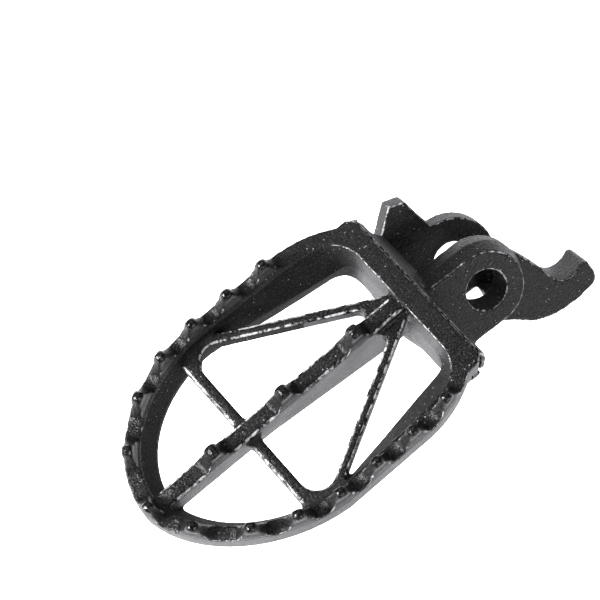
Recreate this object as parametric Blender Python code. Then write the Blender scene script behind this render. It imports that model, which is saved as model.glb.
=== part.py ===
"""Wide motocross foot peg, right-hand side, as welded and coated steel.

Frame: +X points outboard, +Y forward, +Z up, in metres. The origin is on the axis of the
pivot bore, midway between the outer faces of the two ears. Sizes below are in millimetres
and are turned into metres by MM.

Two castings make the peg. The tread is the toothed platform that the boot stands on. The
clevis is the bracket that hangs on the motorcycle's pivot pin. Their flat faces meet at the
root and are joined by weld beads.
"""
import bpy
import bmesh
import math
from mathutils import Matrix, Vector

MM = 0.001
NAME = "foot_peg"

# ---- where the tread sits, measured from the pivot bore's middle ----
ROOT_X = 16.3               # seam plane between tread and clevis
DECK_Y = 0.65               # the tread's centreline
DECK_Z = 24.2               # valley plane of the tread, between the teeth
GAP = 0.3                   # clearance between neighbouring solids

# ---- pivot ----
PIN_TILT = 46.5             # the pivot axis rises forward by this angle, in degrees
PIN_YAW = 6.5               # and leans outboard by this angle
BORE_R = 5.1                # bore for a 10 mm clevis pin
BOSS_W = 25.2               # across both ears, along the pivot axis

# ---- tread plan ----
TREAD_LENGTH = 80.2
ROOT_HALF = 22.8            # half width at the root
TREAD_HALF = 27.4           # half width over the straight part of the rim
NECK_X = 4.2                # the root's straight side ends here
FLARE_X = 20.5              # the rim reaches its full width here
FLARE_PULL = 12.0
ARC_X = 44.0                # the elliptic end starts here
RIM_T = 3.4                 # rim wall at the valley plane
WALL_X = (29.0, 38.0)       # two more points of the straight side
END_SQUEEZE = 0.065         # the front quarter of the elliptic end is drawn in by this share
END_STEPS = 16
PART_Z = -8.0               # parting plane of the inner wall, where the holes are narrowest

# ---- the void in the tread, at the valley plane, at the parting plane and at the bottom ----
# One side of each outline: face of the root bar, start, pull and end of the root corner, pull
# and end of the flare, half width at the first and at the second WALL_X, then the reach and the
# half width of the elliptic end.
TOP_HOLE = (5.0, 13.5, (5.3, 20.0), (10.5, 22.6), (15.5, 24.0), (22.5, 24.0), 24.0, 24.0, 32.8, 24.0)
PART_HOLE = (5.4, 12.5, (5.5, 16.5), (9.0, 17.0), (15.5, 17.9), (22.5, 19.1), 20.2, 21.5, 29.2, 21.9)
LOW_HOLE = (5.0, 14.5, (5.1, 19.6), (10.0, 20.1), (16.0, 20.3), (22.5, 20.7), 21.1, 22.0, 29.2, 22.3)

# ---- tread heights, from the valley plane ----
RIM_SIDE = 6.9              # upright outer wall
RIM_STEP = 11.0             # foot of the sloping wall
RIM_INSET = 1.9             # how far the lower wall stands in
ROOT_DEPTH = 21.2
TAPER_X = 8.0               # the lower wall starts to taper here
TAPER_END = 46.0
TAPER_STEP = 0.4            # past the taper the bottom lies this far below the sloping wall

# ---- teeth ----
TOOTH_H = 6.9
TOOTH_TIP_R = 1.2
TOOTH_ANGLE = 22.0          # flank from upright
TOOTH_FILLET = 1.9
TOOTH_X = (23.9, 34.4, 44.8, 54.9, 64.6, 74.0)
TOOTH_SINK = 0.6
TOOTH_INSET = 0.1           # a tooth stands this far inside the wall it grows from
TOOTH_LEAN = 0.4            # each side leans in by this much at the tip
CROWN_H = 1.15              # the tip is domed across the rim by this much
CROWN_FROM = 2.2            # and the dome fades out at this height
CROWN_STEPS = 6
TIP_TOOTH_DROP = 0.6        # the outermost tooth is this much lower
FRONT_TOOTH_X = 13.4        # the extra tooth by the front root corner
RIB_TOOTH_X = (18.7, 39.6, 60.0)

# ---- rib and bars ----
RIB_HALF = 2.1
RIB_TOP = 0.35
RIB_DROP = 0.6              # the rib stands this far below the root block
RIB_START = 3.0             # the rib begins this far inside the root block
RIB_RAMP = 7.5              # and is level from here
RIB_SETBACK = 2.0           # its outboard end stops short of the tip
BAR_TOP = -1.8
BAR_LOW = -6.2
BAR_START = 2.0             # the bars begin this far inside the root block
CROSS_X = 50.7
CROSS_T = 2.8
DIAG_T = 2.2
DIAG_X = 7.4
DIAG_Y = 2.95
DIAG_SLOPE = 0.54
WINDOW_R = 1.2              # corner of a root window
RIB_CORNER_R = 1.6          # corners beside the rib
CROSS_CORNER_R = 4.5        # corner between a diagonal and the cross bar
BEYOND = 90.0               # a cutter's side that lies clear of the tread

# ---- weld beads ----
BEAD_H = 0.75
BEAD_STEP = 0.4
BEAD_PITCH = 1.7
BEAD_RIPPLE = 0.08
BEAD_TOP = -2.4             # the upright runs start below the deck's edge
BEAD_FOOT = 0.6             # and end above the root's bottom
UNDER_HALF = 1.6            # half width of the run across the bottom
UNDER_Y = (15.6, 20.8)      # where that run starts and ends

# ---- clevis ----
EAR_R = 11.0
BOSS_DEPTH = 3.3
BOSS_STEP = 0.35            # the boss's face stands this proud of the root
BOSS_RINGS = ((10.75, 7.0, 14.0), (10.75, 3.3, 14.0), (9.72, 0.35, 14.0), (9.6, 0.0, 12.4))
PLATE_BACK = 8.0            # the front ear ends and the slot begins
PLATE_LEAN = 0.085          # the front face falls back towards the stop
SLOT_END = 20.4             # and here the rear ear begins
STOP_BACK = 14.5            # the deep front leg of the stop ends
REAR_EAR_R = 11.3
SEAM_BEVEL = 1.5            # weld preparation on the upright edges of the seam
FLANGE = ((-0.35, -0.4), (-2.0, -5.5), (-2.0, -6.9), (-2.0, -11.0), (-2.0, -21.2))
ROOT_WALL = ((-0.3, -3.0), (-1.9, -5.5), (-6.0, -16.5), (-6.0, -42.0), (-0.3, -42.0))
WALL_SETBACK = 0.7          # the wall behind the flange is this much narrower
WALL_KEEP = ((5.0, -10.5), (25.0, -10.5), (25.0, 30.0), (5.0, 30.0))
WALL_DEPTH = 25.5

# ---- stem behind the seam, and the strut under the root ----
STEM = ((15.0, -12.4), (18.3, -12.4), (19.5, -7.0), (19.3, 6.0), (15.0, 6.0))
STEM_DEPTHS = (0.6, 27.5)
STRUT_TOP = (2.0, 11.5, -2.1, 2.1, -18.0)
STRUT_FOOT = (0.6, 5.4, -7.4, -3.6, -42.6)
ROOM_X = -0.9               # both clear the tread from here outboard
ROOM_TOP = 20.0

# ---- openings of the clevis, in its profile plane: from u, to u, from v, to v ----
SPRING_WINDOW = (-1.5, 9.8, -20.0, -2.0)
WINDOW_MARGIN = 0.2         # inside the slot's two walls
RELIEF_START = (-1.4, 9.8, -22.0, -9.2)
RELIEF_END = (-3.2, 9.0, -25.0, -12.3)
RELIEF_DEPTHS = (0.6, -5.2) # of those two, from the slot's rear wall
BORE_SIDES = 48
BORE_REACH = 20.0


def to_deck(x, y, z):
    """A point of the tread, given from its root, centreline and valley plane."""
    return Vector(((ROOT_X + x) * MM, (DECK_Y + y) * MM, (DECK_Z + z) * MM))


DECK = Matrix.Translation(to_deck(0.0, 0.0, 0.0))
STEM_PLACE = Matrix.Rotation(math.radians(PIN_TILT), 4, "X")
CLEVIS = STEM_PLACE @ Matrix.Rotation(math.radians(-PIN_YAW), 4, "Z")


# ---------------------------------------------------------------- helpers
def clear_scene():
    for obj in list(bpy.data.objects):
        bpy.data.objects.remove(obj, do_unlink=True)


def collection(name):
    found = bpy.data.collections.new(name)
    bpy.context.scene.collection.children.link(found)
    return found


def new_object(name, mesh, where, home):
    obj = bpy.data.objects.new(name, mesh)
    obj.matrix_world = where
    home.objects.link(obj)
    return obj


def loft(rings):
    """A closed mesh through rings of equal point count, capped at both ends."""
    mesh = bpy.data.meshes.new("loft")
    bm = bmesh.new()
    rows = [[bm.verts.new(Vector(p) * MM) for p in ring] for ring in rings]
    count = len(rows[0])
    for low, high in zip(rows, rows[1:]):
        for i in range(count):
            j = (i + 1) % count
            bm.faces.new((low[i], low[j], high[j], high[i]))
    bm.faces.new(rows[0][::-1])
    bm.faces.new(rows[-1])
    bmesh.ops.recalc_face_normals(bm, faces=bm.faces)
    bm.to_mesh(mesh)
    bm.free()
    return mesh


def arc(cx, cy, radius, start, end, steps):
    """Points on a circle, from start to end in degrees."""
    out = []
    for i in range(steps + 1):
        a = math.radians(start + (end - start) * i / steps)
        out.append((cx + radius * math.cos(a), cy + radius * math.sin(a)))
    return out


def bezier(p0, p1, p2, steps):
    """Points on a quadratic curve, without its first point."""
    out = []
    for i in range(1, steps + 1):
        t = i / steps
        a = (1 - t) ** 2
        b = 2 * t * (1 - t)
        c = t * t
        out.append((a * p0[0] + b * p1[0] + c * p2[0], a * p0[1] + b * p1[1] + c * p2[1]))
    return out


def ear_slab(outline, near, far, lean=0.0):
    """An outline in the clevis profile plane, between two depths from the front ear's face.

    With a lean, the front side falls back towards the stop."""
    front = BOSS_W / 2 - near
    back = BOSS_W / 2 - far
    leaning = [(u, front + lean * min(u, 0.0), v) for u, v in outline]
    return loft([[(u, back, v) for u, v in outline], leaning])


def block(outline, half):
    """An outline seen along Y, as (x, z) points, from one half width to the other."""
    return loft([[(x, -half, z) for x, z in outline], [(x, half, z) for x, z in outline]])


def upright_ring(shape, y):
    """A rectangle at one depth, from (from u, to u, from v, to v)."""
    u0, u1, v0, v1 = shape
    return [(u0, y, v0), (u1, y, v0), (u1, y, v1), (u0, y, v1)]


def level_ring(shape):
    """A level rectangle, from (from x, to x, from y, to y, height)."""
    x0, x1, y0, y1, z = shape
    return [(x0, y0, z), (x1, y0, z), (x1, y1, z), (x0, y1, z)]


def deck_slab(outline, low, high):
    """An outline in plan, between two heights from the valley plane."""
    return loft([[(x, y, low) for x, y in outline], [(x, y, high) for x, y in outline]])


def boolean(obj, other, operation, solver="EXACT"):
    mod = obj.modifiers.new(operation.lower() + "_" + other.name, "BOOLEAN")
    mod.operation = operation
    mod.solver = solver
    mod.object = other


def as_cutter(name, mesh, where, home):
    obj = new_object(name, mesh, where, home)
    obj.hide_render = True
    obj.display_type = "WIRE"
    return obj


def material(name, colour, roughness, metallic):
    mat = bpy.data.materials.new(name)
    mat.use_nodes = True
    shader = mat.node_tree.nodes["Principled BSDF"]
    shader.inputs["Base Color"].default_value = (*colour, 1.0)
    shader.inputs["Roughness"].default_value = roughness
    shader.inputs["Metallic"].default_value = metallic
    return mat


# ---------------------------------------------------------------- tread
def rounded_end(reach, half, squeeze):
    """The elliptic end, from its widest point to the centreline, drawn in between the two."""
    pts = []
    for i in range(END_STEPS + 1):
        a = math.radians(90.0 - 90.0 * i / END_STEPS)
        share = 1.0 - squeeze * math.sin(2.0 * a)
        pts.append((ARC_X + share * reach * math.cos(a), share * half * math.sin(a)))
    return pts


def half_rim(inset, squeeze):
    """The rim's outline on one side, root to tip, moved in by inset."""
    half = TREAD_HALF - inset
    root = ROOT_HALF - inset
    pts = [(0.0, root - SEAM_BEVEL), (SEAM_BEVEL, root), (NECK_X, root)]
    pts += bezier((NECK_X, root), (FLARE_PULL, half), (FLARE_X, half), 8)
    pts += [(x, half) for x in WALL_X]
    return pts + rounded_end(TREAD_LENGTH - ARC_X - inset, half, squeeze)


def full_rim(inset):
    front = half_rim(inset, END_SQUEEZE)
    rear = half_rim(inset, 0.0)
    return front + [(x, -y) for x, y in rear[-2::-1]]


def bottom_z(x):
    """Height of the rim's bottom edge: deep at the root, shallow past the middle."""
    share = (x - TAPER_X) / (TAPER_END - TAPER_X)
    share = min(max(share, 0.0), 1.0)
    return -ROOT_DEPTH + (ROOT_DEPTH - RIM_STEP - TAPER_STEP) * share


def wall_inset(z):
    """How far the outer wall stands in at a height: none above the slope, RIM_INSET below."""
    share = (-z - RIM_SIDE) / (RIM_STEP - RIM_SIDE)
    return RIM_INSET * min(max(share, 0.0), 1.0)


def rim_block():
    outer = full_rim(0.0)
    inner = full_rim(RIM_INSET)
    rings = [[(x, y, bottom_z(x)) for x, y in inner]]
    rings.append([(x, y, -RIM_STEP) for x, y in inner])
    rings.append([(x, y, -RIM_SIDE) for x, y in outer])
    rings.append([(x, y, 0.0) for x, y in outer])
    return loft(rings)


def hole_half(shape, squeeze):
    """The void's outline on one side, root to tip."""
    bar, corner, pull, turn, flare_pull, flare, first, second, reach, half = shape
    pts = [(bar, 0.0), (bar, corner)]
    pts += bezier((bar, corner), pull, turn, 5)
    pts += bezier(turn, flare_pull, flare, 5)
    pts += [(WALL_X[0], first), (WALL_X[1], second)]
    return pts + rounded_end(reach, half, squeeze)


def hole_full(shape):
    front = hole_half(shape, END_SQUEEZE)
    rear = hole_half(shape, 0.0)
    return front + [(x, -y) for x, y in rear[-2:0:-1]]


def void_cutter():
    rings = [[(x, y, bottom_z(x) - 1.0) for x, y in hole_full(LOW_HOLE)]]
    rings.append([(x, y, PART_Z) for x, y in hole_full(PART_HOLE)])
    rings.append([(x, y, 1.0) for x, y in hole_full(TOP_HOLE)])
    return loft(rings)


def tooth_profile(height):
    """One tooth seen from the side, foot to foot over the tip, as (distance, height) pairs."""
    slope = math.radians(TOOTH_ANGLE)
    tip_z = height - TOOTH_TIP_R
    flank_x = TOOTH_TIP_R * math.cos(slope)
    flank_z = tip_z + TOOTH_TIP_R * math.sin(slope)
    rise = flank_z - TOOTH_FILLET * (1.0 - math.sin(slope))
    foot_x = flank_x + rise * math.tan(slope) + TOOTH_FILLET * math.cos(slope)
    right = arc(foot_x, TOOTH_FILLET, TOOTH_FILLET, 270.0, 180.0 + TOOTH_ANGLE, 4)
    right += arc(0.0, tip_z, TOOTH_TIP_R, TOOTH_ANGLE, 90.0, 4)
    left = [(-x, z) for x, z in right[:-1]]
    return left + right[::-1]


def tooth(path, middle, half_t, height):
    """A tooth that follows a path of plan points, thinner towards its tip."""
    low = half_t - TOOTH_INSET
    foot = Vector((0.0, 0.0, -TOOTH_SINK))
    rings = []
    for s, z in tooth_profile(height):
        spot, along = path_at(path, middle + s)
        across = Vector((-along.y, along.x, 0.0))
        high = low - TOOTH_LEAN * z / TOOTH_H
        dome = CROWN_H * max(0.0, (z - CROWN_FROM) / (TOOTH_H - CROWN_FROM))
        ring = [spot + across * low + foot, spot - across * low + foot]
        for i in range(CROWN_STEPS + 1):
            a = math.pi * i / CROWN_STEPS
            rise = z - dome * (1.0 - math.sin(a))
            ring.append(spot - across * high * math.cos(a) + Vector((0.0, 0.0, rise)))
        rings.append(ring)
    return loft(rings)


def path_at(path, distance):
    """The point and the heading at a distance along a path."""
    for a, b in zip(path, path[1:]):
        step = (b - a).length
        if distance <= step or b is path[-1]:
            along = (b - a).normalized()
            return a + along * distance, along
        distance -= step


def path_length(path, x):
    """How far along the path its first point beyond x lies."""
    total = 0.0
    for a, b in zip(path, path[1:]):
        if b.x >= x:
            return total + (b - a).length * (x - a.x) / (b.x - a.x)
        total += (b - a).length
    return total


def all_teeth():
    """Every tooth of the tread, as a list of meshes."""
    front = [Vector((x, y, 0.0)) for x, y in half_rim(RIM_T / 2, END_SQUEEZE)[1:]]
    rear = [Vector((x, -y, 0.0)) for x, y in half_rim(RIM_T / 2, 0.0)[1:]]
    rib = [Vector((0.0, 0.0, 0.0)), Vector((TREAD_LENGTH, 0.0, 0.0))]
    half_t = RIM_T / 2
    made = []
    for x in (FRONT_TOOTH_X,) + TOOTH_X:
        made.append(tooth(front, path_length(front, x), half_t, TOOTH_H))
    for x in TOOTH_X:
        made.append(tooth(rear, path_length(rear, x), half_t, TOOTH_H))
    whole = front + rear[-2::-1]
    made.append(tooth(whole, path_length(front, TREAD_LENGTH), half_t, TOOTH_H - TIP_TOOTH_DROP))
    for x in RIB_TOOTH_X:
        made.append(tooth(rib, x, RIB_HALF, TOOTH_H))
    return made


def rounded(corners):
    """A closed outline from (x, y, radius) corners, each one rounded by an arc."""
    out = []
    count = len(corners)
    for i, (x, y, radius) in enumerate(corners):
        here = Vector((x, y))
        if radius == 0.0:
            out.append((x, y))
            continue
        before = (Vector(corners[i - 1][:2]) - here).normalized()
        after = (Vector(corners[(i + 1) % count][:2]) - here).normalized()
        half = before.angle(after) / 2
        bisector = (before + after).normalized()
        centre = here + bisector * radius / math.sin(half)
        first = here + before * radius / math.tan(half) - centre
        last = here + after * radius / math.tan(half) - centre
        turn = first.angle_signed(last)
        steps = max(2, round(abs(math.degrees(turn)) / 18.0))
        for k in range(steps + 1):
            spot = first.copy()
            spot.rotate(Matrix.Rotation(-turn * k / steps, 2))
            out.append(tuple(centre + spot))
    return out


def diagonal_y(x):
    return DIAG_Y + DIAG_SLOPE * (x - DIAG_X)


def windows(side):
    """The three openings on one side of the centre rib."""
    edge = DIAG_T / 2 * math.hypot(1.0, DIAG_SLOPE)
    left = CROSS_X - CROSS_T / 2
    right = CROSS_X + CROSS_T / 2
    start = DIAG_X + (RIB_HALF + edge - DIAG_Y) / DIAG_SLOPE
    root = [(4.0, diagonal_y(4.0) + edge, WINDOW_R), (52.0, diagonal_y(52.0) + edge, 0.0)]
    root += [(52.0, BEYOND, 0.0), (4.0, BEYOND, 0.0)]
    middle = [(start, RIB_HALF, RIB_CORNER_R), (left, RIB_HALF, RIB_CORNER_R)]
    middle += [(left, diagonal_y(left) - edge, CROSS_CORNER_R)]
    tip = [(right, RIB_HALF, RIB_CORNER_R), (BEYOND, RIB_HALF, 0.0)]
    tip += [(BEYOND, BEYOND, 0.0), (right, BEYOND, 0.0)]
    shapes = []
    for corners in (root, middle, tip):
        shapes.append(rounded([(x, side * y, r) for x, y, r in corners]))
    return shapes


def rib_mesh():
    """The centre rib: level on top, deep at the root."""
    end = TREAD_LENGTH - RIB_SETBACK
    foot = -ROOT_DEPTH - RIB_DROP
    outline = [(RIB_START, -1.0), (RIB_RAMP, RIB_TOP), (end - 6.0, RIB_TOP), (end, -0.8)]
    outline += [(end, -8.0), (TAPER_END, -9.6), (TAPER_X, foot), (RIB_START, foot)]
    return block(outline, RIB_HALF)


# ---------------------------------------------------------------- clevis
def boss_outline(radius, end):
    return [(end, radius)] + arc(0.0, 0.0, radius, 90.0, 270.0, 24) + [(end, -radius)]


def lower_edge(start):
    """The bracket's underside, from the stop's foot to the root."""
    pts = [start]
    pts += bezier(start, (-8.6, -20.6), (-3.6, -15.0), 8)
    pts += bezier((-3.6, -15.0), (0.2, -10.4), (6.5, -10.0), 5)
    pts += [(14.0, -10.0)]
    return pts


def hook_outline():
    """Front ear and fold stop in one outline."""
    pts = [(14.0, 10.6)]
    pts += arc(0.0, 0.0, EAR_R, 90.0, 172.0, 10)
    pts += bezier(pts[-1], (-14.2, -5.0), (-15.2, -9.4), 4)
    pts += bezier((-15.2, -9.4), (-16.2, -13.9), (-19.4, -14.2), 5)
    pts += bezier((-19.4, -14.2), (-22.0, -14.3), (-23.7, -13.0), 3)
    pts += bezier((-23.7, -13.0), (-25.3, -12.6), (-25.3, -15.0), 3)
    pts += [(-25.4, -17.6)]
    pts += bezier((-25.4, -17.6), (-25.2, -20.0), (-22.4, -20.2), 3)
    pts += lower_edge((-18.5, -20.4))
    return pts


def web_inner():
    """The slot's floor, from the root to the stop."""
    pts = [(14.0, -6.6), (6.5, -6.8)]
    pts += bezier((6.5, -6.8), (-0.4, -7.4), (-4.2, -11.4), 5)
    pts += bezier((-4.2, -11.4), (-7.6, -15.2), (-11.2, -15.8), 5)
    return pts


def rear_lower_edge():
    """The rear leg of the stop, from its flat end back to the root."""
    pts = [(-11.3, -20.4), (-10.9, -21.4), (-10.0, -21.6)]
    pts += bezier((-10.0, -21.6), (-5.0, -19.6), (-1.6, -14.9), 6)
    pts += bezier((-1.6, -14.9), (2.2, -10.4), (9.0, -10.0), 5)
    return pts


def web_outline():
    return web_inner() + lower_edge((-11.2, -20.3))


def stop_outline():
    """The extra depth of the fold stop, behind the front ear."""
    top = web_inner()[6:]
    pts = top + [(-14.6, -9.0)]
    pts += bezier((-15.2, -9.4), (-16.2, -13.9), (-19.4, -14.2), 5)
    pts += bezier((-19.4, -14.2), (-22.0, -14.3), (-23.7, -13.0), 3)
    pts += bezier((-23.7, -13.0), (-25.3, -12.6), (-25.3, -15.0), 3)
    pts += [(-25.4, -17.6)]
    pts += bezier((-25.4, -17.6), (-25.2, -20.0), (-22.4, -20.2), 3)
    pts += [(-18.5, -20.4), (-13.8, -20.2), (-9.0, -18.6)]
    return pts


def rear_leg_outline():
    """The rear leg of the stop, under the slot."""
    return web_inner()[2:] + rear_lower_edge()


def flange_mesh():
    """The plate against the root of the tread; its sides follow the tread's outer wall."""
    half = ROOT_HALF - SEAM_BEVEL
    return loft([level_ring((x, -GAP, wall_inset(z) - half, half - wall_inset(z), z)) for x, z in FLANGE])


def room_mesh(low, half):
    """The space that the tread takes up, below its root block and its taper."""
    outline = [(ROOM_X, low), (TAPER_X, low), (TAPER_END, -RIM_STEP)]
    outline += [(TAPER_END, ROOM_TOP), (ROOM_X, ROOM_TOP)]
    return block(outline, half)


def rear_ear_outline():
    pts = [(15.2, 13.9), (6.0, 22.6), (2.0, 21.2), (0.6, 14.8)]
    pts += arc(0.0, 0.0, REAR_EAR_R, 92.0, 192.0, 14)
    pts += bezier(pts[-1], (-11.5, -7.0), (-11.3, -12.0), 3)
    pts += rear_lower_edge()
    pts += [(15.2, -9.8)]
    return pts


# ---------------------------------------------------------------- welds
def bead(section, place, start, end):
    """A ground-down weld run: a section swept in small steps, with shallow ripples on its crown.

    A section point is (along the surface, out of it, share of the ripple)."""
    steps = round(abs(end - start) / BEAD_STEP)
    rings = []
    for i in range(steps + 1):
        t = start + (end - start) * i / steps
        swell = BEAD_RIPPLE * math.sin(2.0 * math.pi * t / BEAD_PITCH)
        rings.append([place(a, b + swell * share, t) for a, b, share in section])
    return loft(rings)


def side_section():
    """Bead in the seam's upright groove, as (x, distance from the centreline, ripple)."""
    side = ROOT_HALF - SEAM_BEVEL + GAP
    groove = [(-1.1, side, 0.0), (-0.1, side, 0.0), (1.0, ROOT_HALF - 0.05, 0.0)]
    crown = [(0.3, ROOT_HALF + 0.05, 1.0), (-0.4, ROOT_HALF - 0.15, 1.0), (-1.0, ROOT_HALF - 0.6, 1.0)]
    return groove + crown


def under_section():
    """Bead across the seam's bottom edge, as (x, depth below the root, ripple)."""
    pts = [(UNDER_HALF, GAP, 0.0)]
    for i in range(7):
        a = math.pi * i / 6
        pts.append((UNDER_HALF * math.cos(a), 2.0 * GAP + BEAD_H * math.sin(a), math.sin(a)))
    return pts + [(-UNDER_HALF, GAP, 0.0)]


# ---------------------------------------------------------------- build
def build_tread(parts, cutters):
    tread = new_object("tread", rim_block(), DECK, parts)
    boolean(tread, as_cutter("tread_void", void_cutter(), DECK, cutters), "DIFFERENCE")
    web = [(max(x, BAR_START), y) for x, y in full_rim(RIM_T - 0.6)]
    bars = as_cutter("tread_bars", deck_slab(web, BAR_LOW, BAR_TOP), DECK, cutters)
    for side in (1.0, -1.0):
        for i, outline in enumerate(windows(side)):
            mesh = deck_slab(outline, BAR_LOW - 4.0, BAR_TOP + 4.0)
            boolean(bars, as_cutter("window_%d_%d" % (side, i), mesh, DECK, cutters), "DIFFERENCE")
    boolean(tread, bars, "UNION")
    boolean(tread, as_cutter("tread_rib", rib_mesh(), DECK, cutters), "UNION")
    for i, mesh in enumerate(all_teeth()):
        boolean(tread, as_cutter("tooth_%02d" % i, mesh, DECK, cutters), "UNION")
    return tread


def build_clevis(parts, cutters):
    front_ear = ear_slab(hook_outline(), BOSS_DEPTH, PLATE_BACK, PLATE_LEAN)
    clevis = new_object("clevis", front_ear, CLEVIS, parts)
    front = BOSS_W / 2
    boss_rings = []
    for radius, depth, end in BOSS_RINGS:
        boss_rings.append([(u, front - depth, v) for u, v in boss_outline(radius, end)])
    pieces = [loft(boss_rings)]
    pieces.append(ear_slab(stop_outline(), 6.5, STOP_BACK))
    pieces.append(ear_slab(web_outline(), 6.0, BOSS_W - 0.2))
    pieces.append(ear_slab(rear_leg_outline(), 14.0, SLOT_END + 1.0))
    pieces.append(ear_slab(rear_ear_outline(), SLOT_END, BOSS_W))
    for i, mesh in enumerate(pieces):
        boolean(clevis, as_cutter("clevis_%d" % i, mesh, CLEVIS, cutters), "UNION")
    wall_half = ROOT_HALF - SEAM_BEVEL - RIM_INSET - WALL_SETBACK
    wall = as_cutter("root_wall", block(ROOT_WALL, wall_half), DECK, cutters)
    keep = as_cutter("root_keep", ear_slab(WALL_KEEP, BOSS_STEP, WALL_DEPTH), CLEVIS, cutters)
    boolean(wall, keep, "INTERSECT")
    boolean(clevis, wall, "UNION")
    boolean(clevis, as_cutter("flange", flange_mesh(), DECK, cutters), "UNION")

    stem = as_cutter("stem", ear_slab(STEM, *STEM_DEPTHS), STEM_PLACE, cutters)
    strut = as_cutter("strut", loft([level_ring(STRUT_FOOT), level_ring(STRUT_TOP)]), DECK, cutters)
    root_low = -ROOT_DEPTH - GAP
    rooms = [as_cutter("root_room", room_mesh(root_low, 40.0), DECK, cutters)]
    rooms.append(as_cutter("rib_room", room_mesh(root_low - RIB_DROP, RIB_HALF + GAP), DECK, cutters))
    for under in (stem, strut):
        for room in rooms:
            boolean(under, room, "DIFFERENCE")
        boolean(clevis, under, "UNION", "MANIFOLD")

    circle = arc(0.0, 0.0, BORE_R, 0.0, 360.0 - 360.0 / BORE_SIDES, BORE_SIDES - 1)
    bore = as_cutter("bore", block(circle, BORE_REACH), CLEVIS, cutters)
    boolean(clevis, bore, "DIFFERENCE", "MANIFOLD")
    slot_rear = front - SLOT_END
    near = front - PLATE_BACK - WINDOW_MARGIN
    rings = [upright_ring(SPRING_WINDOW, y) for y in (slot_rear + WINDOW_MARGIN, near)]
    boolean(clevis, as_cutter("spring_window", loft(rings), CLEVIS, cutters), "DIFFERENCE", "MANIFOLD")
    relief = [upright_ring(RELIEF_START, slot_rear + RELIEF_DEPTHS[0])]
    relief.append(upright_ring(RELIEF_END, slot_rear + RELIEF_DEPTHS[1]))
    boolean(clevis, as_cutter("leg_relief", loft(relief), CLEVIS, cutters), "DIFFERENCE", "MANIFOLD")
    return clevis


def build_welds(parts):
    low = -ROOT_DEPTH + BEAD_FOOT
    front = bead(side_section(), lambda x, y, z: (x, y - wall_inset(z), z), low, BEAD_TOP)
    rear = bead(side_section(), lambda x, y, z: (x, wall_inset(z) - y, z), low, BEAD_TOP)
    under = bead(under_section(), lambda x, depth, y: (x, y, -ROOT_DEPTH - depth), *UNDER_Y)
    for name, mesh in (("weld_front", front), ("weld_rear", rear), ("weld_under", under)):
        run = new_object(name, mesh, DECK, parts)
        run.data.materials.append(material("weld_metal", (0.035, 0.035, 0.037), 0.5, 0.0))


def build():
    clear_scene()
    parts = collection(NAME)
    cutters = collection("cutters")
    tread = build_tread(parts, cutters)
    tread.data.materials.append(material("platform_steel", (0.03, 0.03, 0.032), 0.45, 0.0))
    clevis = build_clevis(parts, cutters)
    clevis.data.materials.append(material("bracket_steel", (0.03, 0.03, 0.032), 0.45, 0.0))
    build_welds(parts)


build()
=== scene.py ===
"""Looks of the motocross foot peg: two powder-coated steel castings and the welds between them.

The castings are remeshed copies of the CAD solids, with rounded cast edges and a pebbly skin.
Sizes are in metres, in the CAD's own frame: +X outboard, +Y forward, +Z up.
"""
import bpy
import bmesh
import math
import numpy as np
from mathutils import Matrix, Vector, noise


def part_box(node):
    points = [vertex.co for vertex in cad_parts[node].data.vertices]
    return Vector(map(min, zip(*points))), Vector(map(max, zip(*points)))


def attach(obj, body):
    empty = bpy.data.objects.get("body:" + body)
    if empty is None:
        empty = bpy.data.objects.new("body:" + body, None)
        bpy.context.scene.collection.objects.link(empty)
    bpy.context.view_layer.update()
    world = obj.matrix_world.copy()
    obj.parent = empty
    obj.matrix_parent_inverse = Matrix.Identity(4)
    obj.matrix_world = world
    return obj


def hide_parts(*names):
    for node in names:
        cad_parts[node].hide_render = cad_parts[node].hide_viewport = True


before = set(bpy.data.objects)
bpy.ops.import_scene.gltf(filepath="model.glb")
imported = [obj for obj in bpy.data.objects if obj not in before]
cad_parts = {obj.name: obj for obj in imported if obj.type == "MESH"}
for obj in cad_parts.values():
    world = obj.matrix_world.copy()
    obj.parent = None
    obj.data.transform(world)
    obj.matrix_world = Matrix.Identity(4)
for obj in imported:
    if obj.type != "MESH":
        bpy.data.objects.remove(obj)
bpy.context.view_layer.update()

# ---- camera, as an orbit about a point on the peg ----
TARGET = Vector((0.0353, -0.0198, 0.0055))
AZIMUTH = math.radians(60.8)
ELEVATION = math.radians(72.2)
ROLL = math.radians(-12.0)
DISTANCE = 0.457
LENS = 115.2

# ---- studio ----
FLOOR_DROP = 0.16
FLOOR_SIZE = 6.0
FLOOR_GLOW = 0.85           # keeps the table near white
ROOM_GLOW = 0.16
# name, azimuth and elevation in degrees, distance, (width, height), radiance
SOFT_BOXES = (
    ("front", 96.0, 21.0, 0.7, (0.5, 0.24), 9.0),
    ("spark", -30.0, 58.0, 0.8, (0.05, 0.05), 260.0),
    ("side", -18.0, 34.0, 0.7, (0.2, 0.2), 150.0),
    ("back", -135.0, 28.0, 0.8, (0.5, 0.2), 1.5),
)

# ---- card above the rear root corner ----
CARD_PLACE = (-0.1325, -0.242, 0.524)
CARD_TURN = math.radians(141.3)
CARD_SIZE = (0.5, 0.2)
CARD_RADIANCE = 3.0

# ---- castings: voxel, smoothing passes, height of the skin's bumps, their size ----
TREAD_SKIN = (0.00041, 2, 0.000012, 0.0008)
CLEVIS_SKIN = (0.00033, 4, 0.000008, 0.0008)
WELD_SKIN = (0.0003, 3, 0.00006, 0.0012)
FINE_BUMPS = 2.1            # the smaller bumps of the skin: how much finer, and their offset
FINE_OFFSET = (7.0, 3.0, 5.0)
JOIN = 2e-6                 # split vertices nearer than this are one

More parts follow.
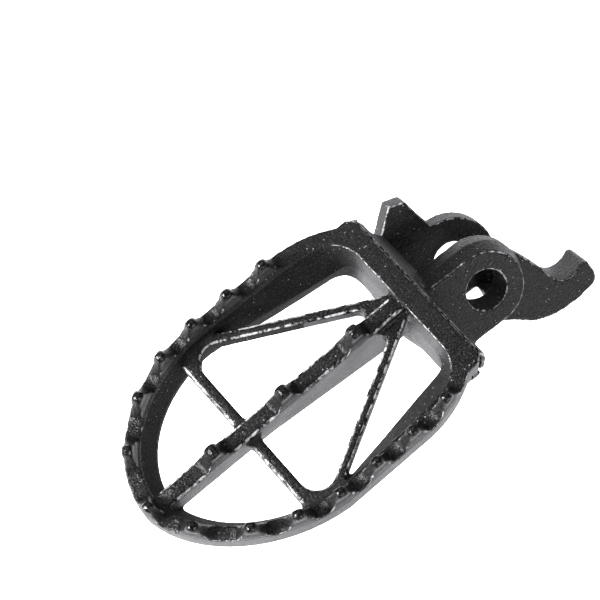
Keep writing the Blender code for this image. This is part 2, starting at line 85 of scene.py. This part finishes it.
# ---- the coat: noise and cell scales, per metre ----
CLOUD_SCALE = 90.0
FINE_SCALE = 2600.0
PEBBLE_SCALE = 1900.0
WEAR_AND_HIGHLIGHT_SCALE = 700.0
SPECK_SCALE = 2100.0
SPECK_SIZE = 0.3            # greatest distance from a cell's point, in cells

# ---- the coat: greys, and how far worn edges (partly a painted edge highlight) and specks show the bare one ----
COAT = (0.001, 0.003)
GRAIN = 0.05
BARE = 0.5
WEAR_AND_HIGHLIGHT_SHOWS = 0.9
SPECK_SHOWS = 0.45

# ---- the coat: depth of its bumps, in metres ----
PEBBLE_BUMP = 0.0005
FINE_BUMP = 0.0002

# ---- convexity in voxels: rings of neighbours it is read over, and the range of edge wear and painted edge highlight ----
EDGE_RINGS = 4
FORM_RINGS = 14
FORM_SPAN = (0.4, 1.4)      # from flat to fully convex
EDGE_FROM = 0.27
EDGE_TO = 0.37
CLEVIS_EDGE = 1.25          # the bracket is smoothed more, so its convexity is read higher

# ---- the coat's specular level, and what is added to its roughness ----
SPECULAR = 0.22
WALL_ROUGH = 0.19           # on upright faces
INNER_ROUGH = 0.5           # on the rim's inner walls and in the bore

# ---- where the rim's inner walls are ----
DECK_Y = 0.00065            # the tread's centreline
INNER_Y = 0.011             # this far from it or more
INNER_X = 0.075             # or this far outboard
RIM_ROUND = 0.0006          # below the rounded top edge

# ---- tips and flanks of the teeth, by height above the valley plane ----
VALLEY_Z = 0.0242
TIP_Z = 0.0057
TIP_OUT = 0.00009
FLANK_Z = 0.0034
FLANK_IN = 0.0003
TOOTH_BAND = 0.0012
COATED_Z = 0.0046           # above this the tips get no edge wear or painted edge highlight
COATED_FADE = 0.0006

# ---- pivot bore: its axis, as in the CAD ----
PIN_TILT = math.radians(46.5)
PIN_YAW = math.radians(6.5)
BORE_REACH = 0.0055         # just outside the bore's wall
BORE_EDGE = 0.0003

# ---- the seam between the castings is filled flush ----
SEAM_X = 0.016              # outboard face of the bracket's flange
SEAM_REACH = 0.0004
SEAM_FILL = 0.00018


def make_camera():
    """A long lens on the orbit, rolled about its own axis."""
    away = Vector((math.cos(ELEVATION) * math.cos(AZIMUTH),
                   math.cos(ELEVATION) * math.sin(AZIMUTH),
                   math.sin(ELEVATION)))
    data = bpy.data.cameras.new("camera")
    data.lens = LENS
    data.clip_start = 0.01
    data.clip_end = 20.0
    camera = bpy.data.objects.new("camera", data)
    bpy.context.scene.collection.objects.link(camera)
    place = Matrix.Translation(TARGET + away * DISTANCE)
    aim = away.to_track_quat("Z", "Y").to_matrix().to_4x4()
    camera.matrix_world = place @ aim @ Matrix.Rotation(ROLL, 4, "Z")
    bpy.context.scene.camera = camera


# ---------------------------------------------------------------- meshes
def welded_copy(node, name):
    """A copy of a CAD node's mesh with its split vertices joined again."""
    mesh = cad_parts[node].data.copy()
    mesh.materials.clear()
    bm = bmesh.new()
    bm.from_mesh(mesh)
    bmesh.ops.remove_doubles(bm, verts=bm.verts, dist=JOIN)
    bm.to_mesh(mesh)
    bm.free()
    obj = bpy.data.objects.new(name, mesh)
    bpy.context.scene.collection.objects.link(obj)
    return obj


def applied(obj):
    """Applies the object's modifiers and returns its new mesh."""
    graph = bpy.context.evaluated_depsgraph_get()
    mesh = bpy.data.meshes.new_from_object(obj.evaluated_get(graph))
    obj.modifiers.clear()
    obj.data = mesh
    return mesh


def positions(mesh):
    """The vertices' places, one row each."""
    out = np.empty(len(mesh.vertices) * 3, np.float32)
    mesh.vertices.foreach_get("co", out)
    return out.reshape(-1, 3).astype(float)


def vertex_normals(mesh):
    out = np.empty(len(mesh.vertices) * 3, np.float32)
    mesh.vertex_normals.foreach_get("vector", out)
    return out.reshape(-1, 3).astype(float)


def edge_ends(mesh):
    out = np.empty(len(mesh.edges) * 2, np.int32)
    mesh.edges.foreach_get("vertices", out)
    return out.reshape(-1, 2)


def neighbour_mean(values, ends, degree):
    total = np.zeros_like(values)
    np.add.at(total, ends[:, 0], values[ends[:, 1]])
    np.add.at(total, ends[:, 1], values[ends[:, 0]])
    return total / degree[:, None]


def bend(mesh, rings):
    """How convex the surface is at each vertex, in metres, read over rings of neighbours."""
    ends = edge_ends(mesh)
    degree = np.bincount(ends.ravel(), minlength=len(mesh.vertices)).astype(float)
    start = positions(mesh)
    moved = start
    for _ in range(rings):
        moved = neighbour_mean(moved, ends, degree)
    return np.einsum("ij,ij->i", start - moved, vertex_normals(mesh))


def place_vertices(mesh, co):
    mesh.vertices.foreach_set("co", co.astype(np.float32).ravel())
    mesh.update()


def skin(mesh, height, size):
    """Pushes each vertex along its normal by a lumpy amount, as a sand-cast surface."""
    co = positions(mesh)
    normals = vertex_normals(mesh)
    push = np.empty(len(co))
    offset = Vector(FINE_OFFSET)
    for i, p in enumerate(co):
        spot = Vector(p) / size
        push[i] = noise.noise(spot) + 0.5 * noise.noise(spot * FINE_BUMPS + offset)
    co += normals * (push * height)[:, None]
    place_vertices(mesh, co)


def shape_teeth(mesh):
    """Rounds out the tips of the teeth a little and hollows their flanks."""
    co = positions(mesh)
    normals = vertex_normals(mesh)
    above = co[:, 2] - VALLEY_Z
    swell = TIP_OUT * np.exp(-((above - TIP_Z) / TOOTH_BAND) ** 2)
    swell -= FLANK_IN * np.exp(-((above - FLANK_Z) / TOOTH_BAND) ** 2)
    co[:, :2] += normals[:, :2] * swell[:, None]
    place_vertices(mesh, co)


def fill_seam(mesh):
    """Moves the flange's outboard face out to the platform's root."""
    co = positions(mesh)
    near = np.clip(1.0 - np.abs(co[:, 0] - SEAM_X) / SEAM_REACH, 0.0, 1.0)
    facing = np.clip(vertex_normals(mesh)[:, 0], 0.0, 1.0)
    co[:, 0] += SEAM_FILL * near * facing
    place_vertices(mesh, co)


def in_bore(co):
    """1 on the wall of the pivot bore and 0 elsewhere."""
    turn = Matrix.Rotation(PIN_TILT, 3, "X") @ Matrix.Rotation(-PIN_YAW, 3, "Z")
    local = co @ np.array(turn)
    reach = np.hypot(local[:, 0], local[:, 2])
    return np.clip((BORE_REACH - reach) / BORE_EDGE, 0.0, 1.0)


def rim_inside(co, normals):
    """1 on the rim's inner walls and 0 elsewhere."""
    across = co[:, 1] - DECK_Y
    inward = np.clip(-2.0 * normals[:, 1] * np.sign(across), 0.0, 1.0) * (np.abs(across) > INNER_Y)
    back = np.clip(-2.0 * normals[:, 0], 0.0, 1.0) * (co[:, 0] > INNER_X)
    return np.maximum(inward, back) * (co[:, 2] < VALLEY_Z - RIM_ROUND)


def store(mesh, name, values):
    """Keeps one number for each vertex, for the materials to read."""
    layer = mesh.attributes.new(name, "FLOAT", "POINT")
    layer.data.foreach_set("value", values.astype(np.float32))


def casting(node, name, settings, look):
    """A remeshed, rounded and grained stand-in for a CAD node."""
    voxel, passes, height, size = settings
    obj = welded_copy(node, name)
    remesh = obj.modifiers.new("remesh", "REMESH")
    remesh.mode = "VOXEL"
    remesh.voxel_size = voxel
    smooth = obj.modifiers.new("smooth", "SMOOTH")
    smooth.factor = 0.5
    smooth.iterations = passes
    mesh = applied(obj)
    if node == "clevis":
        fill_seam(mesh)
    if node == "tread":
        shape_teeth(mesh)
    edge = bend(mesh, EDGE_RINGS) / voxel
    form = bend(mesh, FORM_RINGS) / voxel
    skin(mesh, height, size)
    co = positions(mesh)
    normals = vertex_normals(mesh)
    if node == "clevis":
        edge *= CLEVIS_EDGE
    if node == "tread":
        edge *= np.clip((VALLEY_Z + COATED_Z - co[:, 2]) / COATED_FADE, 0.0, 1.0)
    store(mesh, "edge", edge)
    store(mesh, "form", form)
    store(mesh, "up", normals[:, 2])
    store(mesh, "inner", rim_inside(co, normals) if node == "tread" else in_bore(co))
    mesh.shade_smooth()
    mesh.materials.append(look)
    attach(obj, "root")
    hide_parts(node)


# ---------------------------------------------------------------- materials
class Nodes:
    """Short ways to add nodes to a material."""

    def __init__(self, name):
        self.material = bpy.data.materials.new(name)
        self.material.use_nodes = True
        self.tree = self.material.node_tree
        self.shader = self.tree.nodes["Principled BSDF"]
        coords = self.tree.nodes.new("ShaderNodeTexCoord")
        self.place = coords.outputs["Object"]

    def join(self, value, socket):
        if isinstance(value, bpy.types.NodeSocket):
            self.tree.links.new(value, socket)
        else:
            socket.default_value = value

    def noise(self, scale, detail=3.0, rough=0.5):
        node = self.tree.nodes.new("ShaderNodeTexNoise")
        node.inputs["Scale"].default_value = scale
        node.inputs["Detail"].default_value = detail
        node.inputs["Roughness"].default_value = rough
        self.join(self.place, node.inputs["Vector"])
        return node.outputs["Fac"]

    def cells(self, scale, output="Distance"):
        node = self.tree.nodes.new("ShaderNodeTexVoronoi")
        node.inputs["Scale"].default_value = scale
        self.join(self.place, node.inputs["Vector"])
        return node.outputs[output]

    def span(self, value, low, high, to_low=0.0, to_high=1.0):
        node = self.tree.nodes.new("ShaderNodeMapRange")
        self.join(value, node.inputs["Value"])
        node.inputs["From Min"].default_value = low
        node.inputs["From Max"].default_value = high
        node.inputs["To Min"].default_value = to_low
        node.inputs["To Max"].default_value = to_high
        return node.outputs["Result"]

    def math(self, operation, a, b=0.0):
        node = self.tree.nodes.new("ShaderNodeMath")
        node.operation = operation
        self.join(a, node.inputs[0])
        self.join(b, node.inputs[1])
        return node.outputs[0]

    def mix(self, share, a, b):
        node = self.tree.nodes.new("ShaderNodeMix")
        node.data_type = "RGBA"
        self.join(share, node.inputs["Factor"])
        self.join(a, node.inputs["A"])
        self.join(b, node.inputs["B"])
        return node.outputs["Result"]

    def attribute(self, name):
        node = self.tree.nodes.new("ShaderNodeAttribute")
        node.attribute_name = name
        return node.outputs["Fac"]

    def bump(self, height, strength, distance, normal=None):
        node = self.tree.nodes.new("ShaderNodeBump")
        node.inputs["Strength"].default_value = strength
        node.inputs["Distance"].default_value = distance
        self.join(height, node.inputs["Height"])
        if normal is not None:
            self.join(normal, node.inputs["Normal"])
        return node.outputs["Normal"]


def grey(level):
    return (level, level, level * 1.03, 1.0)


def coated_steel(name, grain, speck_share, gloss):
    """Satin black powder coat over a cast skin, lighter on its sharp edges: partly wear, partly a
    painted highlight.

    gloss is the roughness to start from; walls, the rim's inside and the bore are rougher,
    and convex forms smoother.
    """
    n = Nodes(name)
    cloud = n.noise(CLOUD_SCALE, 4.0, 0.6)
    fine = n.noise(FINE_SCALE, 3.0, 0.6)
    pebbles = n.noise(PEBBLE_SCALE, 2.0, 0.6)
    colour = n.mix(n.span(cloud, 0.3, 0.7), grey(COAT[0]), grey(COAT[1]))
    colour = n.mix(n.span(fine, 0.54, 0.72, 0.0, 0.8), colour, grey(GRAIN))
    # pale specks in a random share of small cells
    spots = n.math("LESS_THAN", n.cells(SPECK_SCALE), SPECK_SIZE)
    chosen = n.math("GREATER_THAN", n.cells(SPECK_SCALE, "Color"), 1.0 - speck_share)
    pale_specks = n.math("MULTIPLY", spots, chosen)
    # lighter lines along convex edges: partly wear, partly a painted highlight along the edges
    edge = n.span(n.attribute("edge"), EDGE_FROM, EDGE_TO)
    broken = n.span(n.noise(WEAR_AND_HIGHLIGHT_SCALE, 4.0, 0.7), 0.44, 0.6)
    wear_and_edge_highlight = n.math("MULTIPLY", edge, broken)
    light = n.math("MAXIMUM", n.math("MULTIPLY", wear_and_edge_highlight, WEAR_AND_HIGHLIGHT_SHOWS),
                   n.math("MULTIPLY", pale_specks, SPECK_SHOWS))
    colour = n.mix(light, colour, grey(BARE))
    n.join(colour, n.shader.inputs["Base Color"])
    worn = n.span(n.attribute("form"), *FORM_SPAN)
    rough = n.span(cloud, 0.3, 0.7, gloss - 0.04, gloss + 0.06)
    rough = n.math("ADD", rough, n.span(fine, 0.3, 0.7, -0.06, 0.06))
    rough = n.math("SUBTRACT", rough, n.math("MULTIPLY", worn, 0.2))
    rough = n.math("ADD", rough, n.span(n.attribute("up"), 0.35, 0.7, WALL_ROUGH, 0.0))
    rough = n.math("ADD", rough, n.math("MULTIPLY", n.attribute("inner"), INNER_ROUGH))
    n.join(rough, n.shader.inputs["Roughness"])
    n.shader.inputs["Specular IOR Level"].default_value = SPECULAR
    height = n.math("MULTIPLY", pebbles, n.math("SUBTRACT", 1.0, n.math("MULTIPLY", worn, 0.8)))
    normal = n.bump(height, grain, PEBBLE_BUMP)
    normal = n.bump(fine, 0.5 * grain, FINE_BUMP, normal)
    n.join(normal, n.shader.inputs["Normal"])
    return n.material


# ---------------------------------------------------------------- studio
def make_floor():
    """A pale table well below the peg."""
    low = min(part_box(node)[0].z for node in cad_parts)
    bpy.ops.mesh.primitive_plane_add(size=FLOOR_SIZE, location=(0.0, 0.0, low - FLOOR_DROP))
    floor = bpy.context.object
    floor.name = "floor"
    n = Nodes("pale_floor")
    shade = n.span(n.noise(3.0, 2.0), 0.3, 0.7, 0.86, 0.9)
    n.join(n.mix(shade, grey(0.8), grey(0.92)), n.shader.inputs["Base Color"])
    n.shader.inputs["Roughness"].default_value = 0.8
    n.shader.inputs["Emission Color"].default_value = grey(1.0)
    n.shader.inputs["Emission Strength"].default_value = FLOOR_GLOW
    floor.data.materials.append(n.material)


def aimed_at_peg(azimuth, elevation, distance):
    """A place on an orbit about the camera's target, facing it; the angles are in degrees."""
    a = math.radians(azimuth)
    e = math.radians(elevation)
    away = Vector((math.cos(e) * math.cos(a), math.cos(e) * math.sin(a), math.sin(e)))
    aim = away.to_track_quat("Z", "Y").to_matrix().to_4x4()
    return Matrix.Translation(TARGET + away * distance) @ aim


def soft_box(name, place, size, radiance):
    """A rectangular area light; its power follows from its size and how bright it looks."""
    data = bpy.data.lights.new(name, "AREA")
    data.shape = "RECTANGLE"
    data.size = size[0]
    data.size_y = size[1]
    data.energy = radiance * math.pi * size[0] * size[1]
    lamp = bpy.data.objects.new(name, data)
    lamp.matrix_world = place
    bpy.context.scene.collection.objects.link(lamp)


def make_light():
    world = bpy.data.worlds.new("studio")
    world.use_nodes = True
    back = world.node_tree.nodes["Background"]
    back.inputs["Color"].default_value = grey(1.0)
    back.inputs["Strength"].default_value = ROOM_GLOW
    bpy.context.scene.world = world
    for name, azimuth, elevation, distance, size, radiance in SOFT_BOXES:
        soft_box(name, aimed_at_peg(azimuth, elevation, distance), size, radiance)
    card = Matrix.Translation(Vector(CARD_PLACE)) @ Matrix.Rotation(CARD_TURN, 4, "Z")
    soft_box("card", card, CARD_SIZE, CARD_RADIANCE)


make_camera()
# name, strength of the grain, share of the cells with a speck, roughness
platform_look = coated_steel("platform_coat", 0.6, 0.12, 0.31)
bracket_look = coated_steel("bracket_coat", 0.75, 0.14, 0.35)
weld_look = coated_steel("weld_coat", 0.5, 0.03, 0.38)
casting("tread", "tread_casting", TREAD_SKIN, platform_look)
casting("clevis", "clevis_bracket", CLEVIS_SKIN, bracket_look)
for run in ("weld_front", "weld_rear", "weld_under"):
    casting(run, run + "_bead", WELD_SKIN, weld_look)
make_floor()
make_light()
bpy.context.scene.view_settings.view_transform = "Standard"
